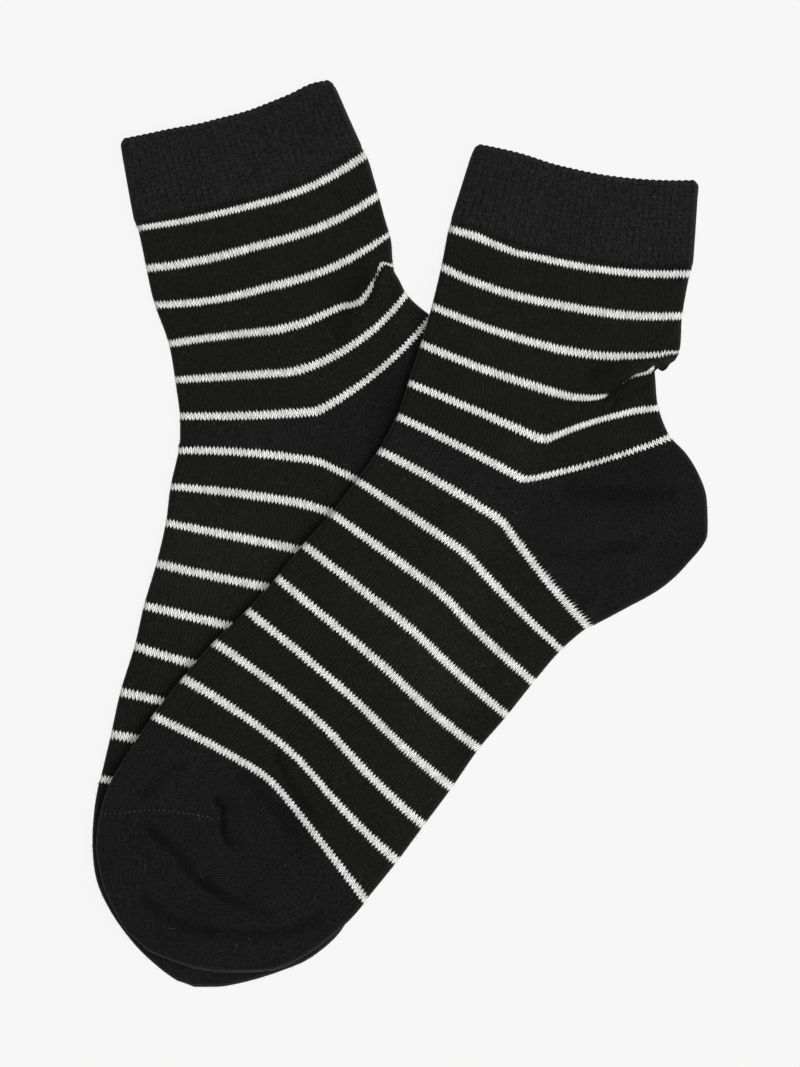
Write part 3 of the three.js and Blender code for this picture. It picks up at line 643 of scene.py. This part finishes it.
def knit_piece(name, sock, start, end, pitch, per_wale, relief, closed_toe=False, mouth=False, pocket=None):
    """One stretch of the tube as a closed wall of knit, from row start to row end.

    The grid's columns run round the tube and its rows along it: first the plain inner face, then the outer face.
    Each vertex keeps its wale, its course and how much of a stripe shows; that last value also scales the
    painted shade in the furrows between wales, and in the heel and toe pockets it does only that.
    """
    top = WALES * per_wale
    bottom = top if closed_toe else top // 3
    first, last = sock.row(start), sock.row(end)
    outer_at = sock.even_rows(first, last, pitch)
    inner_end = last - 0.8 if closed_toe else last
    inner_at = sock.even_rows(first, inner_end, 6.0)[::-1]
    # each entry: place along the tube, depth into the wall, shift towards the toe, outer face
    courses = [(at, WALL, 0.0, 0.0) for at in inner_at]
    courses[-1] = (first, WALL, RIM_DEPTH if mouth else 0.15, 0.0)
    if not closed_toe:
        courses[0] = (last, WALL, -0.15, 0.0)
    if mouth:
        for step in range(5, 0, -1):
            angle = math.pi * step / 6
            depth = WALL / 2 * (1 - math.cos(angle))
            courses.append((first, depth, RIM_DEPTH * (1 - math.sin(angle)), 1.0 - depth / WALL))
    courses.append((outer_at[0], 0.0, RIM_DEPTH if mouth else 0.0, 1.0))
    if not mouth:
        courses.append((outer_at[0], 0.0, 0.03, 1.0))
    courses += [(at, 0.0, 0.0, 1.0) for at in outer_at[1:-1]]
    if not closed_toe:
        courses.append((outer_at[-1], 0.0, -0.03, 1.0))
    courses.append((outer_at[-1], 0.0, 0.0, 1.0))
    if not closed_toe:
        courses.append(courses[0])
    at, depth, shift, outer = (np.array(column) for column in zip(*courses))
    at = np.clip(at, first, last)

    # where each column lies on the way round, as a share of the arc from edge to edge
    across = np.concatenate((np.linspace(0, 1, top + 1), np.linspace(1, 0, bottom + 1)[1:]))
    side = np.where(np.arange(len(across)) <= top, 1.0, -1.0)
    flat_edge = (across == 0.0) | (across == 1.0)

    # the arc bends round both folded edges, so its plan share bunches up there
    ends = sock.place(at, np.tile([[0.0, 1.0]], (len(at), 1)))
    width = np.hypot(*(ends[:, 1] - ends[:, 0]).T)[:, None]
    inset = depth[:, None]
    radius = np.minimum(FLAT / 2 - inset, width / 5)
    inner_width = width - 2 * inset
    quarter = math.pi / 2 * radius
    total = inner_width - 2 * radius + 2 * quarter
    arc = across[None, :] * total
    mirrored = np.minimum(arc, total - arc)
    reach = np.where(mirrored < quarter, radius * (1 - np.cos(mirrored / radius)), radius + mirrored - quarter)
    reach = np.where(arc <= total / 2, reach, inner_width - reach)
    share = (inset + reach) / width

    # plan positions, with a few courses moved along the tube
    plan = sock.place(at, share)
    ahead = sock.place(at, share + SHARP_BEND) - sock.place(at, share - SHARP_BEND)
    ahead /= np.linalg.norm(ahead, axis=2, keepdims=True)
    shift = np.repeat(shift[:, None], len(across), axis=1)
    if mouth:
        # the corners of the mouth are round, and each rib makes a small scallop of the rim
        from_mouth = np.hypot(*(plan - sock.place(np.full(len(at), first), share)).transpose(2, 0, 1))
        from_edge = np.clip(np.minimum(share, 1 - share) * width / MOUTH_CORNER, 0.0, 1.0)
        rounding = MOUTH_CORNER * (1 - np.sqrt(1 - (1 - from_edge) ** 2))
        shift += rounding * np.clip(1 - from_mouth / 5.0, 0.0, 1.0)
        scallop = SCALLOP * np.cos(2 * math.pi * across * RIBS)[None, :]
        shift -= scallop * np.clip(1 - from_mouth / 1.5, 0.0, 1.0)
    plan[..., 0] += ahead[..., 1] * shift
    plan[..., 1] -= ahead[..., 0] * shift
    points = plan.reshape(-1, 2)

    # heights: the half thickness rounds down to nothing at the outline
    depths = np.repeat(depth, len(across))
    sides = np.tile(side, len(at))
    edges = np.tile(flat_edge, len(at))
    height = sock.height(points, sides, depths)
    middle = sock.ground(points) + RIM_RISE
    height[edges] = middle[edges]
    if closed_toe:
        zipped = np.isin(np.repeat(np.arange(len(at)), len(across)), (0, len(at) - 1))
        height[zipped] = middle[zipped]

    wale = np.tile(across * WALES, len(at))
    course = np.repeat(sock.values(at)[:, 8], len(across))
    shown = sock.shown_width(points, course)
    if pocket:
        wale, course, shown = pocket(points, wale, course)
    outers = np.repeat(outer, len(across)) * np.where((sides > 0) | edges, 1.0, 0.0)
    tone = sock.tone(points, sides)
    swell = np.zeros(len(points))
    if mouth:
        # the rib is thicker than the leg, and dips where it joins it
        to_leg = CUFF_LENGTH - course
        join = smooth_step(to_leg / 2.2)
        swell = outers * (CUFF_SWELL * join - CUFF_GROOVE * (1 - join) * smooth_step(to_leg / 0.4))
        # painted shade: the yarn is made darker in the groove where the rib joins the leg
        tone *= 1 - CUFF_SHADE * (1 - smooth_step(to_leg / 2.6)) * smooth_step(to_leg / 0.3)
        # painted highlight: the yarn is made lighter along the mouth's rim, as sheen
        tone *= 1 + RIM_LIGHT * (1 - smooth_step(course / 1.6))

    # the grid, welded shut round the tube and along it
    columns = len(across)
    bm = bmesh.new()
    knit = bm.verts.layers.float_vector.new("knit")
    # the 'tone' attribute carries the painted light and shade
    painted_light_and_tone = bm.verts.layers.float.new("tone")
    bmesh.ops.create_grid(bm, x_segments=columns - 1, y_segments=len(at) - 1, size=1.0)
    bm.verts.ensure_lookup_table()
    verts = list(bm.verts)
    for vert, (x, y), z, w, c, s, t in zip(verts, points * MM, height * MM, wale, course, shown, tone):
        vert.co = (x, y, z)
        vert[knit] = (w, c, s)
        vert[painted_light_and_tone] = t
    ridges = RIBS if mouth else WALES
    ridge = (outers * np.cos(2 * math.pi * np.tile(across * ridges, len(at))) * relief + swell) * MM
    raised = {vert: rise for vert, rise in zip(verts, ridge) if rise != 0.0}
    merges = {}
    for r in range(len(at)):
        merges[verts[r * columns + columns - 1]] = verts[r * columns]
    if closed_toe:
        for r in (0, len(at) - 1):
            for c in range(top + 1, columns - 1):
                merges[verts[r * columns + c]] = verts[r * columns + 2 * top - c]
    else:
        base = (len(at) - 1) * columns
        for c in range(columns - 1):
            merges[verts[base + c]] = verts[c]
        merges[verts[base + columns - 1]] = verts[0]
    for vert in merges:
        raised.pop(vert, None)
    bmesh.ops.weld_verts(bm, targetmap=merges)
    bmesh.ops.recalc_face_normals(bm, faces=bm.faces[:])
    bm.normal_update()

    # the wales stand up as low ridges along the outer face
    for vert, rise in raised.items():
        vert.co += vert.normal * rise
    for face in bm.faces:
        face.smooth = True
    mesh = bpy.data.meshes.new(name)
    bm.to_mesh(mesh)
    bm.free()
    piece = bpy.data.objects.new(name, mesh)
    scene.collection.objects.link(piece)
    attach(piece, "root")
    return piece


MOUTH_CORNER = 2.0
RIM_DEPTH = 0.45                # how far the rim's round turn reaches along the cuff
SCALLOP = 0.09
CUFF_LENGTH = 25.0
CUFF_SWELL = 0.25
CUFF_GROOVE = 0.15
# painted shade in the cuff's groove, and a painted sheen highlight along its rim
CUFF_SHADE = 0.45
RIM_LIGHT = 0.45
# what each piece was cut to, all round the tube: width and length in metres, and square metres
CUTS = {
    "under_sock_cuff": (0.148, 0.027, None),
    "under_sock_leg": (0.166, 0.064, None),
    "under_sock_heel": (0.188, 0.078, 0.0055),
    "under_sock_foot": (0.180, 0.110, None),
    "under_sock_toe": (0.180, 0.075, 0.0079),
    "over_sock_cuff": (0.152, 0.028, None),
    "over_sock_leg": (0.168, 0.065, None),
    "over_sock_heel": (0.191, 0.080, 0.0056),
    "over_sock_foot": (0.182, 0.111, None),
    "over_sock_toe": (0.183, 0.076, 0.0087),
}
HEEL_WALE = 0.81                # the pockets are knitted finer than the tube
TOE_WALE = 0.76
INSTEP_FURROW = 0.35            # the painted shade in the furrows between wales is this much weaker outside the pockets
TOE_TURN = math.radians(-30)    # where the toe's lower half meets its upper half
TOE_REACH = math.radians(127)   # and where its upper half meets the instep


def turned_heel(sock):
    """Wales and courses of the heel's pocket: each half is square to the line that it starts from."""
    middle_course = sock.table[sock.row("heel_3"), 8]
    halves = [sock.table[sock.row(name), 2:6].reshape(2, 2) for name in ("heel_start", "heel_end")]

    def find(points, wale, course):
        pocket_wale, pocket_course = [], []
        for line in halves:
            run = (line[1] - line[0]) / np.hypot(*(line[1] - line[0]))
            pocket_wale.append(WALES / 2 + (points - line[0]) @ run / HEEL_WALE)
            pocket_course.append(distance_to_line(points, line))
        upper, behind = course <= middle_course, wale > WALES / 2
        new_wale = np.where(upper, *pocket_wale)
        new_course = np.where(upper, *pocket_course)
        return (np.where(behind, new_wale, wale), np.where(behind, new_course, course),
                np.where(behind, 1.0, INSTEP_FURROW))
    return find


def turned_toe(gore, seam_end):
    """Wales and courses of the toe's pocket: its upper half curves about the gore, where the linked
    seam ends, and its lower half is square to the seam."""
    along_seam = np.subtract(seam_end, gore) / np.hypot(*np.subtract(seam_end, gore))
    to_tip = np.array((-along_seam[1], along_seam[0]))

    def find(points, wale, course):
        away = points - np.array(gore)
        radius = np.hypot(*away.T)
        front, down = away @ along_seam, away @ to_tip
        angle = np.arctan2(-front, down)
        lower = angle < TOE_TURN
        pocket_wale = WALES / 2 + np.where(lower, front, (radius + down) / 2) / TOE_WALE
        pocket_course = np.where(lower, down, radius * angle)
        turned = smooth_step((TOE_REACH - angle) / 0.4) * (angle > -math.pi / 2)
        return (wale + (pocket_wale - wale) * turned, course + (pocket_course - course) * turned,
                INSTEP_FURROW + (1.0 - INSTEP_FURROW) * turned)
    return find


TOE_GORES = {
    "under_sock": ((-60, -92), (-97, -100)),
    "over_sock": ((-57.5, -90.5), (-95, -89.5)),
}

for sock in (under_sock, over_sock):
    # The cuff: a rib knitted in elastic yarn. Its ribs stand up on the outside, and the mouth
    # is the knitting's own turned edge.
    cuff = knit_piece(f"{sock.name}_cuff_knit", sock, "mouth", "cuff_end", 0.8, 5, 0.1, mouth=True)
    # The leg: plain knit with six stripes.
    leg = knit_piece(f"{sock.name}_leg_knit", sock, "cuff_end", "heel_start", 0.9, 4, 0.07)
    # The heel: a pocket turned on short rows.
    heel = knit_piece(f"{sock.name}_heel_knit", sock, "heel_start", "heel_end", 0.55, 4, 0.0,
                      pocket=turned_heel(sock))
    # The foot: plain knit with nine stripes.
    foot = knit_piece(f"{sock.name}_foot_knit", sock, "heel_end", "toe_start", 0.9, 4, 0.07)
    # The toe: a pocket closed by a linked seam.
    toe = knit_piece(f"{sock.name}_toe_knit", sock, "toe_start", "tip", 0.7, 3, 0.0, closed_toe=True,
                     pocket=turned_toe(*TOE_GORES[sock.name]))
    finishes = ((cuff, "cuff", rib_knit, "rib_knit"), (leg, "leg", striped_knit, "striped_knit"),
                (heel, "heel", plain_knit, "plain_knit"), (foot, "foot", striped_knit, "striped_knit"),
                (toe, "toe", plain_knit, "plain_knit"))
    for piece, part, finish, slot in finishes:
        piece.data.materials.append(finish)
        node = f"{sock.name}_{part}"
        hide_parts(node)
        width, length, area = CUTS[node]

# The linked seam: each toe is closed by a row of chain stitches in grey linking yarn, which lies
# on the knit from the edge to the gusset, on the upper side and on the hidden one alike.
SEAM_STITCH = 1.57
SEAM_BEAD = (0.36, 0.2, 0.16)   # half of a stitch's length, breadth and height
SEAMS = {
    "under_sock": ((-97.6, -99.4), (-93, -99.6), (-86, -98.4), (-78, -96.4), (-70, -94.2), (-61, -92)),
    "over_sock": ((-94.9, -89.3), (-90.1, -89.3), (-86.6, -88.8), (-81.8, -88.2), (-75.4, -88.2),
                  (-70.9, -88.8), (-67.7, -89.2), (-64.6, -89.7), (-61.3, -90.3), (-58.7, -91.6)),
}

linking_yarn = bpy.data.materials.new("linking_yarn")
linking_yarn.use_nodes = True
linking_shader = linking_yarn.node_tree.nodes["Principled BSDF"]
linking_shader.inputs["Base Color"].default_value = (0.045, 0.045, 0.046, 1.0)
linking_shader.inputs["Roughness"].default_value = 0.8
linking_shader.inputs["Specular IOR Level"].default_value = 0.2

for sock in (under_sock, over_sock):
    path = np.array(SEAMS[sock.name])
    run = np.concatenate(([0.0], np.cumsum(np.hypot(*np.diff(path, axis=0).T))))
    stops = np.arange(SEAM_STITCH / 2, run[-1], SEAM_STITCH)
    spots = np.stack([np.interp(stops, run, path[:, axis]) for axis in (0, 1)], axis=1)
    ahead = np.stack([np.interp(stops + 0.2, run, path[:, axis]) for axis in (0, 1)], axis=1) - spots
    turns = np.arctan2(ahead[:, 1], ahead[:, 0])
    bm = bmesh.new()
    for side in (1.0, -1.0):
        heights = sock.height(spots, np.full(len(spots), side), np.zeros(len(spots)))
        for (x, y), z, turn in zip(spots, heights, turns):
            place = Matrix.Translation((x * MM, y * MM, (z + (0.04 if side > 0 else SEAM_BEAD[2])) * MM))
            shape = Matrix.Diagonal([size * MM for size in SEAM_BEAD] + [1.0])
            bmesh.ops.create_icosphere(bm, subdivisions=1, radius=1.0,
                                       matrix=place @ Matrix.Rotation(turn, 4, "Z") @ shape)
    for face in bm.faces:
        face.smooth = True
    seam_mesh = bpy.data.meshes.new(f"{sock.name}_linked_seam")
    bm.to_mesh(seam_mesh)
    bm.free()
    seam_mesh.materials.append(linking_yarn)
    seam = bpy.data.objects.new(f"{sock.name}_linked_seam", seam_mesh)
    scene.collection.objects.link(seam)
    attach(seam, "root")

# Loose fibres: short curled hairs of the black and the silvery yarn that stand off the knit, on
# the faces and round the outline. Each is a thin flat ribbon.
FIBRE_STEPS = 5
FIBRE_KINDS = (
    # name, how many, length from and to, half width, colour; all in millimetres
    ("pale_fibre", 70, (0.7, 2.4), 0.03, (0.1, 0.1, 0.095, 1.0)),
    ("dark_fibre", 500, (0.3, 0.9), 0.03, (0.012, 0.012, 0.012, 1.0)),
)
fibre_draw = np.random.default_rng(5)
for kind, count, (shortest, longest), half, colour in FIBRE_KINDS:
    finish = bpy.data.materials.new(kind)
    finish.use_nodes = True
    fibre_shader = finish.node_tree.nodes["Principled BSDF"]
    fibre_shader.inputs["Base Color"].default_value = colour
    fibre_shader.inputs["Roughness"].default_value = 0.7
    fibre_shader.inputs["Specular IOR Level"].default_value = 0.1
    for sock in (under_sock, over_sock):
        even = sock.even_rows(0.2, len(sock.table) - 1.5, 1.0)
        at = np.interp(fibre_draw.uniform(0, len(even) - 1, count), np.arange(len(even)), even)
        if kind == "pale_fibre":
            across = fibre_draw.uniform(0.03, 0.97, count)
        else:
            across = fibre_draw.integers(0, 2, count) * 1.0
        root = sock.place(at, across[:, None])[:, 0]
        turn = fibre_draw.uniform(0, 2 * math.pi, count)
        if kind == "dark_fibre":
            # these stand out from the folded edge
            inner = sock.place(at, np.abs(across[:, None] - 0.03))[:, 0]
            out = root - inner
            turn = np.arctan2(out[:, 1], out[:, 0]) + fibre_draw.normal(0, 0.8, count)
        curl = fibre_draw.normal(0, 0.9, count)
        length = fibre_draw.uniform(shortest, longest, count)
        bm = bmesh.new()
        bmesh.ops.create_grid(bm, x_segments=2 * count - 1, y_segments=FIBRE_STEPS, size=1.0)
        bm.verts.ensure_lookup_table()
        verts = list(bm.verts)
        for step in range(FIBRE_STEPS + 1):
            share = step / FIBRE_STEPS
            bend = turn + curl * share
            spot = root + (length * share)[:, None] * np.stack((np.cos(bend), np.sin(bend)), axis=1)
            lift = sock.height(spot, np.ones(count), np.zeros(count)) + 0.06
            if kind == "dark_fibre":
                lift = sock.height(root, np.ones(count), np.zeros(count)) + 0.3 * share
            wide = half * (1.0 - 0.6 * share)
            for side, first in ((-1.0, 0), (1.0, 1)):
                x = spot[:, 0] - side * wide * np.sin(bend)
                y = spot[:, 1] + side * wide * np.cos(bend)
                for k in range(count):
                    verts[step * 2 * count + 2 * k + first].co = (x[k] * MM, y[k] * MM, lift[k] * MM)
        between = [face for face in bm.faces
                   if len({vert.index % (2 * count) // 2 for vert in face.verts}) > 1]
        bmesh.ops.delete(bm, geom=between, context="FACES")
        fibre_mesh = bpy.data.meshes.new(f"{sock.name}_{kind}")
        bm.to_mesh(fibre_mesh)
        bm.free()
        fibre_mesh.materials.append(finish)
        fibres = bpy.data.objects.new(f"{sock.name}_{kind}", fibre_mesh)
        scene.collection.objects.link(fibres)
        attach(fibres, "root")
